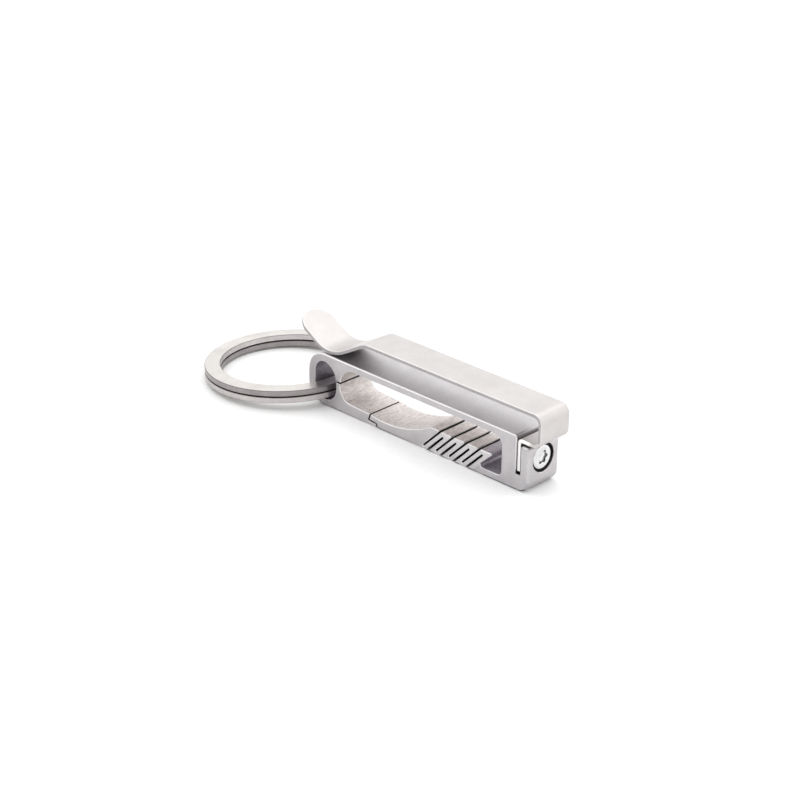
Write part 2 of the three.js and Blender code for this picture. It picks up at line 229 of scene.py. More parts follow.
def make_materials():
    even = (5200, 5200, 5200)
    along_wire = (4600, 1500, 4600)
    # In each edges pair, the first colour is the painted highlight and the second the painted shade
    # of the rounded edges.
    return {
        "blasted": metal("blasted_titanium", (0.455, 0.438, 0.452), (0.575, 0.556, 0.568),
                         (0.38, 0.50), even, (0.10, 0.00003),
                         ((0.92, 0.90, 0.90), (0.12, 0.115, 0.13))),
        "leaf": metal("worn_titanium", (0.56, 0.545, 0.55), (0.70, 0.68, 0.685),
                      (0.34, 0.46), even, (0.10, 0.00003),
                      ((0.92, 0.90, 0.90), (0.12, 0.115, 0.13))),
        "wire_cut": metal("wire_cut_titanium", (0.49, 0.455, 0.447), (0.80, 0.755, 0.735),
                          (0.50, 0.70), along_wire, (0.5, 0.00008),
                          ((0.92, 0.90, 0.88), (0.2, 0.19, 0.2)), (1600, 500, 1600)),
        # The bore's walls, darkened as painted shade.
        "turned": metal("bore_painted_shade", (0.20, 0.195, 0.21), (0.32, 0.31, 0.33),
                        (0.30, 0.42), (9000, 2500, 2500), (0.12, 0.00003)),
        # Near black: painted shade inside the slits and the slot.
        "slit": metal("slit_painted_shade", (0.05, 0.045, 0.055), (0.10, 0.09, 0.105),
                      (0.55, 0.75), along_wire, (0.3, 0.00006),
                      ((0.92, 0.90, 0.90), (0.08, 0.075, 0.085))),
        # Wire-cut walls darkened as painted shade in the hole and the window.
        "shaded": metal("wire_cut_painted_shade", (0.30, 0.28, 0.32), (0.56, 0.53, 0.575),
                        (0.50, 0.70), along_wire, (0.5, 0.00008),
                        ((0.90, 0.88, 0.88), (0.15, 0.14, 0.16))),
        "sheet": metal("sheet_titanium", (0.51, 0.487, 0.48), (0.58, 0.557, 0.548),
                       (0.36, 0.46), (1800, 6200, 6200), (0.06, 0.00003),
                       ((0.90, 0.88, 0.87), (0.2, 0.19, 0.19))),
        # Painted shade along the clip's side faces.
        "sheet_edge": metal("sheet_side_painted_shade", (0.32, 0.31, 0.315), (0.42, 0.405, 0.41),
                            (0.40, 0.52), even, (0.10, 0.00003)),
        "steel": metal("polished_steel", (0.60, 0.60, 0.605), (0.74, 0.74, 0.745),
                       (0.10, 0.18), even, (0.03, 0.00002)),
        # Painted shade on the walls of the screw's recess.
        "socket": metal("socket_painted_shade", (0.14, 0.14, 0.144), (0.24, 0.24, 0.245),
                        (0.16, 0.26), even, (0.06, 0.00002)),
        "ring": metal("ring_titanium", (0.52, 0.495, 0.475), (0.66, 0.635, 0.61),
                      (0.28, 0.42), (3800, 3800, 6500), (0.12, 0.00003),
                      ((0.88, 0.85, 0.83), (0.10, 0.09, 0.09))),
        # The ring's side walls: this copy is painted shade.
        "ring_side": metal("ring_wall_painted_shade", (0.25, 0.232, 0.232), (0.35, 0.325, 0.325),
                           (0.28, 0.42), (6500, 6500, 1500), (0.12, 0.00003),
                           ((0.88, 0.85, 0.83), (0.10, 0.09, 0.09))),
        # The lighter copy of the ring's side walls, painted light.
        "ring_wall_lit": metal("ring_wall_painted_light", (0.45, 0.422, 0.415), (0.60, 0.57, 0.56),
                             (0.28, 0.42), (6500, 6500, 1500), (0.12, 0.00003),
                             ((0.88, 0.85, 0.83), (0.10, 0.09, 0.09))),
        # Painted shade between the two turns.
        "ring_gap": metal("coil_gap_painted_shade", (0.06, 0.055, 0.055), (0.12, 0.11, 0.11),
                          (0.45, 0.60), even, (0.10, 0.00003)),
    }


# ---- outlines ----
class Outline:
    """A closed side outline in x and z, counter-clockwise from the front. Each point carries
    the edge rounding, the finish and the painted edge tone (highlight, or shade where negative) of
    the stretch that starts there."""

    def __init__(self):
        self.points, self.styles = [], []
        self.now = (0.0, BLASTED, 0.0)

    def style(self, edge_break, finish, tone=0.0):
        self.now = (edge_break, finish, tone)

    def restyle(self, edge_break, finish, tone=0.0):
        """A new style from the last point on."""
        self.style(edge_break, finish, tone)
        self.styles[-1] = self.now

    def to(self, x, z):
        if self.points and math.dist(self.points[-1], (x, z)) < 1e-4:
            self.points.pop()
            self.styles.pop()
        self.points.append((x, z))
        self.styles.append(self.now)

    def arc(self, x, z, radius, start, end):
        steps = max(2, math.ceil(abs(end - start) / ARC_STEP))
        for i in range(steps + 1):
            a = start + (end - start) * i / steps
            self.to(x + radius * math.cos(a), z + radius * math.sin(a))

    def corner(self, before, at, after, radius):
        """The rounded corner of two straight runs that meet at a point."""
        at, u, v = (np.array(p, float) for p in (at, before, after))
        u, v = ((p - at) / np.linalg.norm(p - at) for p in (u, v))
        half = math.acos(float(np.clip(u @ v, -1, 1))) / 2
        centre = at + (u + v) / np.linalg.norm(u + v) * radius / math.sin(half)
        first = at + u * radius / math.tan(half) - centre
        last = at + v * radius / math.tan(half) - centre
        a0, a1 = (math.atan2(p[1], p[0]) for p in (first, last))
        turn = (a1 - a0 + math.pi) % (2 * math.pi) - math.pi
        self.arc(centre[0], centre[1], radius, a0, a0 + turn)


def offset_line(points, distance):
    """A polyline shifted to the left of its direction by a constant distance."""
    p = np.array(points, float)
    step = np.diff(p, axis=0)
    step /= np.linalg.norm(step, axis=1)[:, None]
    inward, outward = np.vstack([step[:1], step]), np.vstack([step, step[-1:]])
    mitre = inward + outward
    mitre /= np.linalg.norm(mitre, axis=1)[:, None]
    reach = distance / np.einsum("ij,ij->i", mitre, inward)
    return p + np.column_stack([-mitre[:, 1], mitre[:, 0]]) * reach[:, None]


def hook_side(distance):
    """One side of the hook's cut, from the underside up to the gate's upper surface."""
    side = offset_line(HOOK, distance)

    def slide(point, towards, level):
        share = (level - point[1]) / (towards[1] - point[1])
        return point + (towards - point) * share

    side[0] = slide(side[0], side[1], 0.0)
    side[3] = slide(side[3], side[2], OPENING["nose_z"])
    return side


def block_outline():
    o = Outline()
    # The third value of each style is the edge tone: a painted highlight along the rounded edge, or
    # painted shade where negative.
    wall = (OPENING_BREAK, WIRE_CUT, 0.8)
    shaded_wall = (OPENING_BREAK, SHADED, 0.6)
    slit = (SLIT_BREAK, SLIT, 0.5)
    half = KERF / 2
    b, hole, op = BLOCK, RING_HOLE, OPENING

    # Underside, end block, slot and top.
    o.style(OUTER_BREAK, BLASTED, UNDER_EDGE_SHADE)
    o.to(SEAM_X, 0)
    end = END_BLOCK
    o.arc(LENGTH - end["low_r"], end["low_r"], end["low_r"], -QUARTER, -QUARTER / 2)
    # Painted shade along the lower rounding of the end, a faint painted highlight from there up.
    o.restyle(END_BREAK, BLASTED, -0.2)
    o.arc(LENGTH - end["low_r"], end["low_r"], end["low_r"], -QUARTER / 2, 0)
    o.restyle(END_BREAK, BLASTED, 0.08)
    o.arc(LENGTH - end["top_r"], end["top"] - end["top_r"], end["top_r"], 0, QUARTER)
    o.style(SLIT_BREAK, SLIT, 0.1)
    slot = SLOT
    mouth = (slot["right"], end["top"])
    low_right, low_left = (slot["right"], slot["floor"]), (slot["left"], slot["floor"])
    o.corner((LENGTH, end["top"]), mouth, low_right, slot["mouth_r"])
    o.corner(mouth, low_right, low_left, slot["floor_r"])
    o.corner(low_right, low_left, (slot["left"], HEIGHT), slot["floor_r"])
    o.restyle(SLIT_BREAK, BLASTED, 0.8)
    r = b["top_corner_r"]
    o.to(slot["left"], HEIGHT - r)
    o.style(OUTER_BREAK, BLASTED, 0.55)
    o.arc(slot["left"] - r, HEIGHT - r, r, 0, QUARTER)

    # Rounded left end and the lower lip up to the hook's nose.
    o.arc(b["left_top_r"], HEIGHT - b["left_top_r"], b["left_top_r"], QUARTER, math.pi)
    o.style(OUTER_BREAK, BLASTED, UNDER_EDGE_SHADE)
    o.arc(b["left_low_r"], b["left_low_r"], b["left_low_r"], math.pi, 1.5 * math.pi)
    for (x, z), finish in zip(hook_side(half), (SLIT, WIRE_CUT, SLIT, SLIT)):
        o.style(SLIT_BREAK, finish, 0.5)
        o.to(x, z)
    o.style(*wall)
    o.to(*hook_side(half)[-1])

    # Lower left of the opening, up to the slit in the divider.
    low = op["lower_left_r"]
    o.arc(op["left"] + low, op["lip_z"] + low, low, 1.5 * math.pi, math.pi)
    slit_low, slit_high = op["slit_z"] - half, op["slit_z"] + half
    o.style(*slit)
    o.to(op["left"], slit_low)

    # Round the D-shaped hole, from the slit and back to it.
    big_x, small_x = hole["right"] - hole["upper_r"], hole["left"] + hole["top_corner_r"]
    reach = hole["upper_r"] - hole["top_corner_r"]
    small_z = hole["upper_z"] + math.sqrt(reach ** 2 - (small_x - big_x) ** 2)
    meet = math.atan2(small_z - hole["upper_z"], small_x - big_x)
    at_slit = [math.asin((z - hole["upper_z"]) / hole["upper_r"]) for z in (slit_low, slit_high)]
    o.style(*shaded_wall)
    o.arc(big_x, hole["upper_z"], hole["upper_r"], at_slit[0], 0)
    o.arc(hole["right"] - hole["lower_r"], hole["bottom"] + hole["lower_r"], hole["lower_r"],
          0, -QUARTER)
    r = hole["low_corner_r"]
    o.arc(hole["left"] + r, hole["bottom"] + r, r, -QUARTER, -math.pi)
    o.arc(small_x, small_z, hole["top_corner_r"], math.pi, meet)
    o.arc(big_x, hole["upper_z"], hole["upper_r"], meet, at_slit[1])
    o.style(*slit)
    o.to(*o.points[-1])

    # Upper left of the opening, its ceiling, right wall and the floor beside the spring.
    o.style(*wall)
    r = op["upper_left_r"]
    from_slit = math.pi - math.asin((slit_high - op["ceiling"] + r) / r)
    o.arc(op["left"] + r, op["ceiling"] - r, r, from_slit, QUARTER)
    r = op["upper_right_r"]
    o.arc(op["right"] - r, op["ceiling"] - r, r, QUARTER, 0)
    o.style(*shaded_wall)
    r = WINDOW["right_r"]
    o.arc(op["right"] - r, WINDOW["floor"] + r, r, 0, -QUARTER)
    o.style(0.0, BLASTED)
    o.to(SEAM_X, WINDOW["floor"])
    return o


def spring_outline():
    """The gate and the zigzag of 45-degree leaves behind it, as far as the seam."""
    o = Outline()
    s = SPRING
    half_run = KERF / math.sqrt(2)
    runs = [s["first_cut"] + s["pitch"] * i for i in range(s["cuts"])]
    tip = hook_side(-KERF / 2)

    def leaf(run, z):
        return run + z, z

    def slit(first, last, mouth_z, end_z):
        """One cut between two leaf faces, in at first and out at last, with a round end."""
        # The slit's walls take the dark slit colour, painted shade, and its edges a full painted
        # highlight.
        o.style(LEAF_BREAK, SLIT, 1.0)
        o.to(*leaf(first, mouth_z))
        r = KERF / 2 * 0.98
        a, b = leaf(first, end_z), leaf(last, end_z)
        o.corner(leaf(first, mouth_z), a, b, r)
        o.corner(a, b, leaf(last, mouth_z), r)

    # Along the underside, in and out of each cut that opens downwards.
    o.style(OUTER_BREAK, BLASTED, UNDER_EDGE_SHADE)
    o.to(*tip[0])
    for run in runs[1::2]:
        slit(run - half_run, run + half_run, 0.0, s["lower_cut_ceiling"])
        o.style(OUTER_BREAK, BLASTED, UNDER_EDGE_SHADE)
        o.to(*leaf(run + half_run, 0.0))
    o.style(0.0, BLASTED)
    o.to(SEAM_X, 0.0)
    o.style(OPENING_BREAK, SHADED, 0.6)
    o.to(SEAM_X, WINDOW["floor"])
    foot, crest = leaf(s["last_foot"], WINDOW["floor"]), leaf(s["last_face"], s["crest_z"])
    o.corner((SEAM_X, WINDOW["floor"]), foot, crest, WINDOW["left_r"])
    o.corner(foot, crest, (s["last_face"], s["crest_z"]), LEAF_TOP_R)

    # Back along the crests, in and out of each cut that opens upwards.
    # Painted highlight along the crests' edges.
    crest_style = (s["crest_break"], WIRE_CUT, 0.8)
    for run in reversed(runs[0::2]):
        mouth = leaf(run + half_run, s["crest_z"])
        o.style(*crest_style)
        o.corner((mouth[0] + 1, mouth[1]), mouth, leaf(run + half_run, 0), LEAF_TOP_R / 2)
        slit(run + half_run, run - half_run, s["crest_z"] - LEAF_TOP_R, s["upper_cut_floor"])
        if run > runs[0]:
            mouth = leaf(run - half_run, s["crest_z"])
            o.style(*crest_style)
            o.corner(leaf(run - half_run, 0), mouth, (mouth[0] - 1, mouth[1]), LEAF_TOP_R)
    o.style(*crest_style)
    o.to(*leaf(runs[0] - half_run, GATE_CREST[-1][1] - s["shoulder_drop"]))
    o.style(OPENING_BREAK, WIRE_CUT, 0.8)
    for x, z in reversed(GATE_CREST):
        o.to(x, z)

    # The valley as one smooth curve, then the nose and the hook.
    for x, z in smooth_curve([GATE_CREST[0]] + GATE_VALLEY[::-1], 8):
        o.to(x, z)
    for (x, z), finish in zip(tip[:0:-1], (SLIT, WIRE_CUT, SLIT)):
        o.style(SLIT_BREAK, finish, 0.5)
        o.to(x, z)
    return o


def smooth_curve(points, steps):
    """Points along a Catmull-Rom curve through the given ones."""
    p = np.array(points, float)
    p = np.vstack([2 * p[0] - p[1], p, 2 * p[-1] - p[-2]])
    curve = []
    for a, b, c, d in zip(p, p[1:], p[2:], p[3:]):
        for t in np.arange(steps) / steps:
            curve.append(0.5 * (2 * b + (c - a) * t + (2 * a - 5 * b + 4 * c - d) * t ** 2
                                + (3 * b - a - 3 * c + d) * t ** 3))
    return curve + [p[-2]]


# ---- meshes ----
def place(x, y, z):
    """Millimetres in the block's coordinates, as metres in the row frame."""
    return Vector((LEFT + x * MM, y * MM, z * MM))


def finish_mesh(name, mesh, materials):
    """The object of a mesh, smooth except across sharp edges."""
    work = bmesh.new()
    work.from_mesh(mesh)
    for face in work.faces:
        face.smooth = True
    for edge in work.edges:
        edge.smooth = len(edge.link_faces) == 2 and edge.calc_face_angle(0.0) < SHARP
    work.to_mesh(mesh)
    work.free()
    for material in materials:
        mesh.materials.append(material)
    obj = bpy.data.objects.new(name, mesh)
    bpy.context.scene.collection.objects.link(obj)
    weighted = obj.modifiers.new("face_weighted", "WEIGHTED_NORMAL")
    weighted.keep_sharp = True
    return obj


def build(name, vertices, faces, indices=None, edge_break=None):
    """A mesh from rows of vertices in the block's coordinates, in millimetres."""
    mesh = bpy.data.meshes.new(name)
    mesh.from_pydata([place(*v) for v in vertices], [], faces)
    if indices is not None:
        mesh.polygons.foreach_set("material_index", indices)
    if edge_break is not None:
        attribute = mesh.attributes.new("edge_break", "FLOAT", "POINT")
        attribute.data.foreach_set("value", np.asarray(edge_break, np.float32))
    mesh.update()
    return mesh


def prism(name, outline):
    """An outline carried across the block's width, with its edges rounded at both faces."""
    p = np.array(outline.points)
    count = len(p)
    step = np.roll(p, -1, 0) - p
    step /= np.linalg.norm(step, axis=1)[:, None]
    after = np.column_stack([-step[:, 1], step[:, 0]])
    before = np.roll(after, 1, 0)
    b1 = np.array([edge_break for edge_break, _, _ in outline.styles])
    tone = [value for _, _, value in outline.styles]
    b0 = np.roll(b1, 1)
    turn = before[:, 0] * after[:, 1] - before[:, 1] * after[:, 0]
    even = (b0 + b1)[:, None] / 2 * (before + after) / (1 + np.sum(before * after, 1))[:, None]
    straight = np.abs(turn) < NEARLY_STRAIGHT
    safe = np.where(straight, 1.0, turn)
    uneven = np.column_stack([b0 * after[:, 1] - b1 * before[:, 1],
                              b1 * before[:, 0] - b0 * after[:, 0]]) / safe[:, None]
    inset = np.where(straight[:, None], even, uneven)
    depth = np.maximum(b0, b1)

    vertices, edge = [], []
    angles = QUARTER * np.arange(BREAK_STEPS + 1) / BREAK_STEPS
    levels = [(-1, a) for a in angles[::-1]] + [(1, a) for a in angles]
    for side, a in levels:
        ring = p + inset * (1 - math.cos(a))
        y = side * (HALF_WIDTH - depth * (1 - math.sin(a)))
        vertices += [(x, y[i], z) for i, (x, z) in enumerate(ring)]
        # The edge tone, strongest mid-rounding, is a painted highlight, or painted shade where
        # negative.
        edge += [math.sin(2 * a) * value for value in tone]

    faces, indices = [tuple(range(count))], [BLASTED]
    for j in range(len(levels) - 1):
        wall = levels[j][0] != levels[j + 1][0]
        for i in range(count):
            k = (i + 1) % count
            faces.append((j * count + i, (j + 1) * count + i, (j + 1) * count + k, j * count + k))
            indices.append(outline.styles[i][1] if wall else BLASTED)
    last = (len(levels) - 1) * count
    faces.append(tuple(last + i for i in reversed(range(count))))
    indices.append(BLASTED)
    return build(name, vertices, faces, indices, edge)


def turned_solid(name, profile, segments=BORE["segments"], lobed=None, finish=0):
    """A solid turned about the screw's axis. profile is rows of (radius, x) from one end to the
    other; where lobed holds a row's number, that row follows a six-lobed outline instead."""
    vertices, faces = [], []
    for row, (radius, x) in enumerate(profile):
        for i in range(segments):
            a = 2 * math.pi * i / segments
            r = radius
            if lobed and row in lobed:
                r = radius * (1 - SCREW["lobe"] + SCREW["lobe"] * math.cos(6 * a))
            vertices.append((x, r * math.cos(a), BORE["z"] + r * math.sin(a)))
    for row in range(len(profile) - 1):
        for i in range(segments):
            k = (i + 1) % segments
            a, b = row * segments, (row + 1) * segments
            faces.append((a + i, a + k, b + k, b + i))
    faces.append(tuple(reversed(range(segments))))
    faces.append(tuple((len(profile) - 1) * segments + i for i in range(segments)))
    return build(name, vertices, faces, [finish] * len(faces))


def carve(mesh, cutter):
    """The mesh with a cutter taken out of it. Both are meshes; the cutter is used up."""
    objects = [bpy.data.objects.new(m.name, m) for m in (mesh, cutter)]
    for obj in objects:
        bpy.context.scene.collection.objects.link(obj)
    boolean = objects[0].modifiers.new("carve", "BOOLEAN")
    boolean.operation, boolean.solver, boolean.object = "DIFFERENCE", "EXACT", objects[1]
    evaluated = objects[0].evaluated_get(bpy.context.evaluated_depsgraph_get())
    carved = bpy.data.meshes.new_from_object(evaluated)
    for obj, used in zip(objects, (mesh, cutter)):
        bpy.data.objects.remove(obj)
        bpy.data.meshes.remove(used)
    return carved


def make_block(materials):
    mesh = prism("block", block_outline())
    flare = BORE["flare"]
    # The bore and the hole take the dark bore colour, painted shade.
    bore = turned_solid("bore", [(BORE["radius"], SLOT["right"] - OVERCUT),
                                 (BORE["radius"], LENGTH - flare),
                                 (BORE["radius"] + 2 * flare, LENGTH + flare)], finish=BORE_SHADE)
    for face in bore.polygons[-BORE["segments"] - 2:-2]:
        face.material_index = WIRE_CUT
    mesh = carve(mesh, bore)
    hole = turned_solid("hole", [(BORE["hole_r"], BORE["hole_end"]),
                                 (BORE["hole_r"], SLOT["left"] + OVERCUT)], finish=BORE_SHADE)
    mesh = carve(mesh, hole)
    return finish_mesh("carabiner_block", mesh, materials)


def make_spring(materials):
    """The gate and the leaves; the leaves' side faces, which flex and rub, are worn bright."""
    mesh = prism("spring", spring_outline())
    work = bmesh.new()
    work.from_mesh(mesh)
    limits = [SPRING["first_cut"], SPRING["last_face"] + 0.01]
    for run in limits:
        caps = [face for face in work.faces if abs(face.normal.y) > 0.99]
        touched = dict.fromkeys(part for face in caps for part in (*face.edges, *face.verts))
        bmesh.ops.bisect_plane(work, geom=caps + list(touched), plane_co=place(run, 0, 0),
                               plane_no=(1, 0, -1))
    for face in work.faces:
        centre = face.calc_center_bounds()
        run = (centre.x - LEFT - centre.z) / MM
        if face.material_index == BLASTED and limits[0] < run < limits[1]:
            face.material_index = LEAF
    work.to_mesh(mesh)
    work.free()
    return finish_mesh("gate_and_spring", mesh, materials)


# ---- clip ----
def clip_line():
    """The sheet's middle line in x and z from the tongue's tip to the leg's lower end, with
    the direction square to the sheet on its upper side, and the distance along it."""
    c = CLIP
    half = c["sheet"] / 2
    points, normals = [], []

    def add(x, z, nx, nz):
        points.append((x, z))
        normals.append((nx, nz))

    def bend(x, z, radius, start, end, outside):
        steps = max(6, math.ceil(abs(end - start) / ARC_STEP))
        for i in range(steps + 1):
            a = start + (end - start) * i / steps
            add(x + radius * math.cos(a), z + radius * math.sin(a),
                outside * math.cos(a), outside * math.sin(a))

    ramp, tongue = math.atan(c["ramp_rise"]), math.atan(c["tongue_rise"])
    r = c["tongue_r"]
    low = (c["dip_x"] - r * math.sin(tongue), c["dip_top"] + r * (1 - math.cos(tongue)))
    tip_z = low[1] + (low[0] - c["tip_x"]) * c["tongue_rise"]
    nx, nz = math.sin(tongue), math.cos(tongue)
    add(c["tip_x"] - half * nx, tip_z - half * nz, nx, nz)
    for r, start, end in ((r, -tongue, 0), (c["ramp_r"], 0, ramp)):
        bend(c["dip_x"], c["dip_top"] + r, r + half, start - QUARTER, end - QUARTER, -1)
    bend(c["knee_x"], c["plate_top"] - c["knee_r"], c["knee_r"] - half, QUARTER + ramp, QUARTER, 1)
    r = c["top_bend_r"]
    bend(c["band_outer"] - r, c["plate_top"] - r, r - half, QUARTER, 0, 1)
    r = c["low_bend_r"]
    bend(c["band_outer"] - r, c["shelf_top"] - c["sheet"] + r, r - half, 0, -QUARTER, 1)
    r = c["root_r"]
    bend(c["leg_x"] + r, c["shelf_top"] - r, r - half, QUARTER, math.pi, -1)
    add(c["leg_x"] + half, c["leg_low"], 1, 0)
    points = np.array(points)
    along = np.concatenate([[0], np.cumsum(np.linalg.norm(np.diff(points, axis=0), axis=1))])
    return points, np.array(normals), along


def make_clip(materials):
    points, normals, along = clip_line()
    half, edge = CLIP["half"], CLIP["edge"]
    thickness = CLIP["sheet"] / 2
    columns, round_rows, longest_row = 14, 12, 1.2
    shelf = CLIP["shelf_top"]
    # Rows past the rounded tip: every bend station, and the straight stretches divided up.
    rows = [half]
    for s in along[along > half + 0.3]:
        gap = s - rows[-1]
        parts = max(1, math.ceil(gap / longest_row))
        rows += [rows[-1] + gap * (i + 1) / parts for i in range(parts)]
    rows = np.array(rows)
    total = along[-1]

    def bent(s, y, height):
        """A point of the flat blank at s along it and y across, bent into place."""
        at = [np.interp(s, along, points[:, i]) for i in (0, 1)]
        n = np.array([np.interp(s, along, normals[:, i]) for i in (0, 1)])
        n /= np.linalg.norm(n)
        return at[0] + n[0] * height, y, at[1] + n[1] * height

    def grid(inset, height):
        """The blank as rows of points, drawn in by inset all round, at a height."""
        width = half - inset
        across = np.linspace(-1, 1, columns + 1)
        made = []
        for i in range(round_rows, 0, -1):
            u = i / round_rows
            made.append([bent(half - width * u * math.sqrt(1 - v * v / 2),
                              width * v * math.sqrt(1 - u * u / 2), height) for v in across])
        for s in rows:
            made.append([bent(min(s, total - inset), width * v, height) for v in across])
        return made

    def rim(cells):
        """The outline of a grid, once round."""
        far, wide = len(cells) - 1, columns
        order = [(0, j) for j in range(wide)] + [(i, wide) for i in range(far)]
        order += [(far, j) for j in range(wide, 0, -1)] + [(i, 0) for i in range(far, 0, -1)]
        return order

    top, bottom = grid(edge, thickness), grid(edge, -thickness)
    row_count, wide = len(top), columns + 1
    vertices = [v for cells in (top, bottom) for row in cells for v in row]
    around = rim(top)
    edge_break = [0.0] * len(vertices)
    angles = QUARTER * np.arange(BREAK_STEPS) / BREAK_STEPS
    loops = [[i * wide + j for i, j in around]]
    for side, a in [(1, a) for a in angles[::-1]] + [(-1, a) for a in angles]:
        level = grid(edge * (1 - math.cos(a)), side * (thickness - edge * (1 - math.sin(a))))
        loops.append(list(range(len(vertices), len(vertices) + len(around))))
        vertices += [level[i][j] for i, j in around]
        # Painted highlight along the upper edges of the sheet, painted shade along the lower ones.
        edge_light_shade = math.sin(2 * a) * (0.35 if side > 0 else -0.3)
        # The rim of the leg, its bend and the shelf carries a strong painted highlight.
        edge_break += [0.9 if z < shelf + 0.05 and x < CLIP["leg_x"] + 3 else edge_light_shade
                       for x, _, z in vertices[-len(around):]]
    under = row_count * wide
    loops.append([under + i * wide + j for i, j in around])

    faces = []
    for i in range(row_count - 1):
        for j in range(columns):
            a = i * wide + j
            faces.append((a, a + wide, a + wide + 1, a + 1))
            faces.append((under + a, under + a + 1, under + a + wide + 1, under + a + wide))
    indices = [0] * len(faces)
    for loop, (upper, lower) in enumerate(zip(loops, loops[1:])):
        for i in range(len(around)):
            k = (i + 1) % len(around)
            faces.append((upper[i], upper[k], lower[k], lower[i]))
            # The flat rim above the shelf takes the second material, painted shade.
            indices.append(int(loop == BREAK_STEPS and vertices[upper[i]][2] > shelf + 0.3))
    mesh = build("clip", vertices, faces, indices, edge_break)
    leg = (CLIP["leg_x"] - OVERCUT, CLIP["leg_x"] + CLIP["sheet"] + OVERCUT)
    hole = turned_solid("leg_hole", [(CLIP["hole_r"], x) for x in leg])
    return finish_mesh("belt_clip", carve(mesh, hole), materials)


# ---- screw ----
def make_screw(materials):
    s = SCREW
    e = s["edge_r"]
    high, r = s["head_high"], s["head_r"]
    floor = high - s["socket_depth"]
    sr = s["socket_r"]
    # Shank with its chamfered tip, the head's underside and rounded rim, then its top.
    profile = [(0.05, s["tip"]), (1.05, s["tip"]), (s["shank_r"], s["tip"] + 0.35)]
    profile += [(s["shank_r"], s["head_low"]), (r - 0.08, s["head_low"]), (r, s["head_low"] + 0.08)]
    profile += [(r - e + e * math.cos(a), high - e + e * math.sin(a))
                for a in np.linspace(0, QUARTER, 6)]
    profile += [(2.0, high)]
    # The socket: all its rows but the middle of its floor are lobed.
    socket = [(sr + 0.12, high), (sr + 0.03, high - 0.03), (sr, high - 0.1), (sr, floor),
              (sr * 0.55, floor - 0.06), (0.05, floor - 0.18)]
    lobed = range(len(profile), len(profile) + len(socket) - 1)
    profile += socket
    mesh = turned_solid("screw", profile, 96, lobed)
    in_socket = (LEFT + (high - 0.05) * MM, (sr + 0.05) * MM)
    for face in mesh.polygons:
        _, y, z = face.center
        deep = face.center.x < in_socket[0] and math.hypot(y, z - BORE["z"] * MM) < in_socket[1]
        wall = abs(face.normal.x) < 0.5 and face.center.x > LEFT + s["head_low"] * MM
        # Walls deep in the socket take the second material, painted shade in the recess.
        face.material_index = int(deep and wall)
    return finish_mesh("clip_screw_head", mesh, materials)


# ---- split ring ----
def make_ring(materials):
    r = RING
    middle = (Vector(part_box("split_ring")[0]) + Vector(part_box("split_ring")[1])) / 2
    radius = r["outer_r"] - r["band"] / 2
    level = (r["coil"] + r["gap"]) / 2
    # Two turns, less a bit more than the crossover, where the wire is a single layer.
    sweep = 4 * math.pi - r["cut_short"] * r["crossover"]
    stations, nib, nib_size = 300, 0.35, 0.8
    a, b, e = r["band"] / 2, r["coil"] / 2, r["edge"]
    section = []
    for cx, cz, start in ((a - e, b - e, 0), (e - a, b - e, 1), (e - a, e - b, 2), (a - e, e - b, 3)):
        for i in range(BREAK_STEPS + 1):
            angle = QUARTER * (start + i / BREAK_STEPS)
            section.append((cx + e * math.cos(angle), cz + e * math.sin(angle)))

    def centre(angle):
        rise = (angle - (2 * math.pi - r["crossover"])) / r["crossover"]
        t = min(1.0, max(0.0, rise))
        risen = t * t * (3 - 2 * t)
        # The upper turn stands off a little where it leaves the crossover.
        fall = min(1.0, max(0.0, (angle - 2 * math.pi) / r["spread_over"]))
        z = level * (2 * risen - 1) + r["spread"] * risen * (1 - fall) ** 2
        at = angle + r["start"]
        return Vector((radius * math.cos(at), radius * math.sin(at), z))

    lean = Matrix.Rotation(-r["tilt"], 3, "Y")
    home = Vector(((middle.x - LEFT) / MM, 0, middle.z / MM))
    vertices, faces = [], []
    # Edge tone for the section's rounded corners: painted shade, stronger along the top edges.
    rounded = [tone * math.sin(2 * QUARTER * i / BREAK_STEPS)
               for tone in (-0.8, -0.8, -0.45, -0.45) for i in range(BREAK_STEPS + 1)]
    # Even stations, with one more near each end, from where the cut end is drawn in a little.
    stops = np.concatenate([[0, nib / radius], np.linspace(0, sweep, stations)[1:-1],
                            [sweep - nib / radius, sweep]])
    for angle in stops:
        at = centre(angle)
        tangent = (centre(angle + 1e-3) - centre(angle - 1e-3)).normalized()
        out = Vector((at.x, at.y, 0)).normalized()
        up = tangent.cross(-out).normalized() * -1
        up = up if up.z > 0 else -up
        shrink = nib_size if angle in (stops[0], stops[-1]) else 1.0
        for u, v in section:
            p = lean @ (at + out * u * shrink + up * v * shrink) + home
            vertices.append(tuple(p))
    n = len(section)
    indices = []
    under_until = 2 * math.pi - r["bare_before"] * r["crossover"]
    for i in range(len(stops) - 1):
        # The side of this stretch that faces the other turn: above, below or neither.
        inner = int(stops[i] < under_until) - int(stops[i] >= 2 * math.pi)
        for j in range(n):
            k = (j + 1) % n
            faces.append((i * n + j, (i + 1) * n + j, (i + 1) * n + k, i * n + k))
            out, up = ((section[j][axis] + section[k][axis]) / 2 for axis in (0, 1))
            # Faces towards the other turn are painted shade; the lower turn's inner wall and the
            # upper turn's outer wall are painted shade, the other walls painted light.
            if inner * up > b - 0.3 * e:
                indices.append(GAP)
            elif abs(out) > a - 0.3 * e:
                indices.append(WALL_SHADE if inner * out < 0 else WALL_LIT)
            else:
                indices.append(FACE)
    faces.append(tuple(range(n)))
    faces.append(tuple((len(stops) - 1) * n + j for j in reversed(range(n))))
    mesh = build("ring", vertices, faces, indices + [FACE, FACE], rounded * len(stops))
    return finish_mesh("two_turn_ring", mesh, materials)


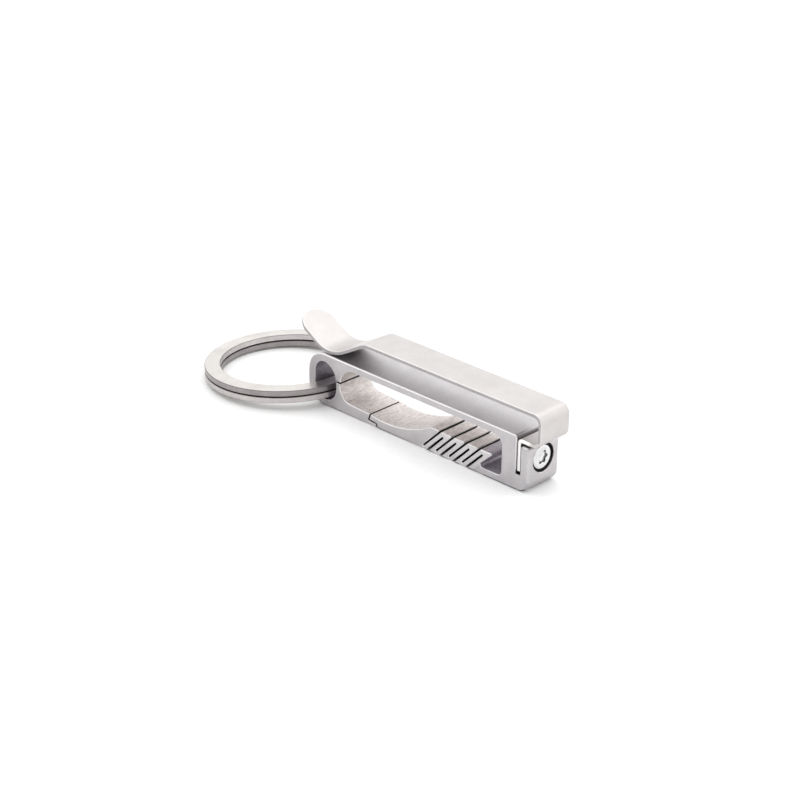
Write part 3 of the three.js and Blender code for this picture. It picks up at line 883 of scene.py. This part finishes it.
# ---- stage ----
def make_sky():
    """A white dome, brightest behind the object and overhead, dimmer in front of it."""
    world = bpy.data.worlds.new("studio")
    bpy.context.scene.world = world
    world.use_nodes = True
    tree = world.node_tree
    direction = tree.nodes.new("ShaderNodeTexCoord").outputs["Generated"]
    facing = tree.nodes.new("ShaderNodeVectorMath")
    facing.operation = "DOT_PRODUCT"
    facing.inputs[1].default_value = SKY["towards"]
    tree.links.new(direction, facing.inputs[0])
    level = tree.nodes.new("ShaderNodeMapRange")
    for socket, number in zip(("From Min", "From Max", "To Min", "To Max"),
                              (-0.6, 0.9, SKY["dim"], SKY["bright"])):
        level.inputs[socket].default_value = number
    tree.links.new(facing.outputs["Value"], level.inputs["Value"])
    background = tree.nodes["Background"]
    background.inputs["Color"].default_value = (1.0, 1.0, 1.0, 1.0)
    tree.links.new(level.outputs["Result"], background.inputs["Strength"])


def make_stage():
    mesh = bpy.data.meshes.new("floor")
    reach = 3.0
    corners = ((-1, -1), (1, -1), (1, 1), (-1, 1))
    mesh.from_pydata([(reach * x, reach * y, 0) for x, y in corners], [], [(0, 1, 2, 3)])
    floor = bpy.data.objects.new("floor", mesh)
    bpy.context.scene.collection.objects.link(floor)
    floor.location.z = -0.02 * MM
    look = Shading("pale_floor")
    speckle = look.noise((900, 900, 900))
    look.link(look.ramp(speckle, [(0.3, (0.86, 0.86, 0.86)), (0.7, (0.89, 0.89, 0.89))]),
              look.shader.inputs["Base Color"])
    look.shader.inputs["Roughness"].default_value = 0.7
    mesh.materials.append(look.material)

    make_sky()

    def softbox(name, location, size, power):
        light = bpy.data.lights.new(name, "AREA")
        light.shape, light.size, light.size_y, light.energy = "RECTANGLE", size[0], size[1], power
        lamp = bpy.data.objects.new(name, light)
        lamp.location = location
        lamp.rotation_euler = (-Vector(location)).to_track_quat("-Z", "Y").to_euler()
        bpy.context.scene.collection.objects.link(lamp)

    softbox("overhead", (-0.1, 0.2, 0.8), (1.1, 1.1), 2.6)
    softbox("right_fill", (0.66, 0.3, 0.26), (1.2, 0.9), 1.5)
    softbox("front_left", (-0.56, -0.39, 0.58), (0.45, 0.45), 0.6)


def make_camera():
    azimuth, elevation, roll = (math.radians(CAMERA[a]) for a in ("azimuth", "elevation", "roll"))
    back = Vector((math.sin(azimuth) * math.cos(elevation),
                   -math.cos(azimuth) * math.cos(elevation), math.sin(elevation)))
    data = bpy.data.cameras.new("camera")
    data.lens, data.sensor_width = CAMERA["lens"], 36.0
    data.clip_start, data.clip_end = 0.01, 20.0
    camera = bpy.data.objects.new("camera", data)
    camera.location = place(*CAMERA["target"]) + back * CAMERA["distance"] * MM
    camera.rotation_mode = "QUATERNION"
    camera.rotation_quaternion = (-back).to_track_quat("-Z", "Y") @ Quaternion((0, 0, 1), roll)
    bpy.context.scene.collection.objects.link(camera)
    bpy.context.scene.camera = camera


# ---- assembly ----
looks = make_materials()
block_looks = [looks[name] for name in ("blasted", "wire_cut", "turned", "slit", "shaded", "leaf")]

block = make_block(block_looks)
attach(block, "frame")
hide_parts("frame")

spring = make_spring(block_looks)
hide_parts("gate", "gate_spring")
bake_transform(spring)

clip = make_clip([looks["sheet"], looks["sheet_edge"]])
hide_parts("clip_root", "clip_arm")
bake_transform(clip)

screw = make_screw([looks["steel"], looks["socket"]])
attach(screw, "frame")
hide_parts("clip_screw")

ring = make_ring([looks[name] for name in ("ring", "ring_side", "ring_gap", "ring_wall_lit")])
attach(ring, "split_ring")
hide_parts("split_ring")

make_stage()
make_camera()
bpy.context.scene.view_settings.view_transform = "Standard"
